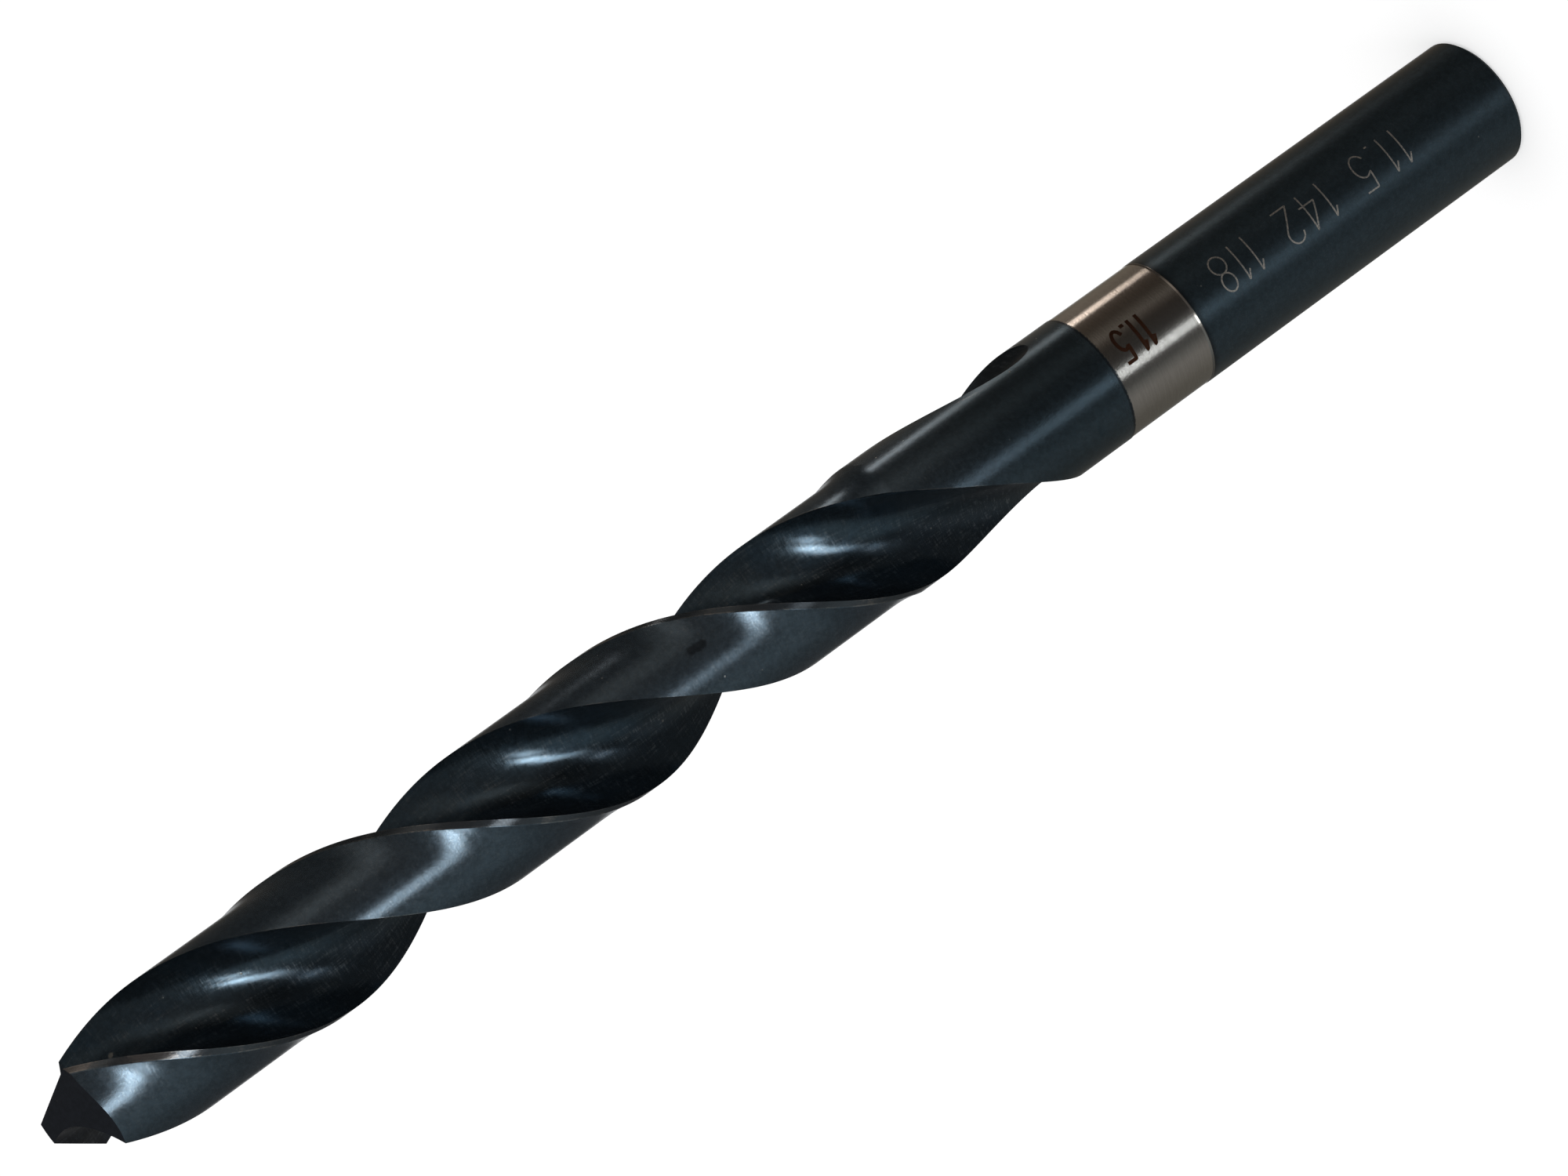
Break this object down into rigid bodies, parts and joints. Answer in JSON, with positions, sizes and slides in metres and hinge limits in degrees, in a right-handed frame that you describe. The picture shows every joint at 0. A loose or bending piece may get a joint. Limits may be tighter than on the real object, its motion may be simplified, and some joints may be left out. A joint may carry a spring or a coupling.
{
  "type": "jobber drill bit",
  "caption": "Straight-shank jobber twist drill with a dark oxide finish, right-hand helical flutes, a ground point and a bare ground band on the shank.",
  "frame": {"origin": "centre of the flat end of the shank", "axes": "+Z along the drill's axis from the shank end to the point; the two cutting lips run along X"},
  "size_m": [0.0116, 0.0116, 0.142],
  "materials": {
    "oxide_steel": "satin"
  },
  "bodies": {
    "root": {"drill_bit": "oxide_steel"}
  },
  "joints": []
}
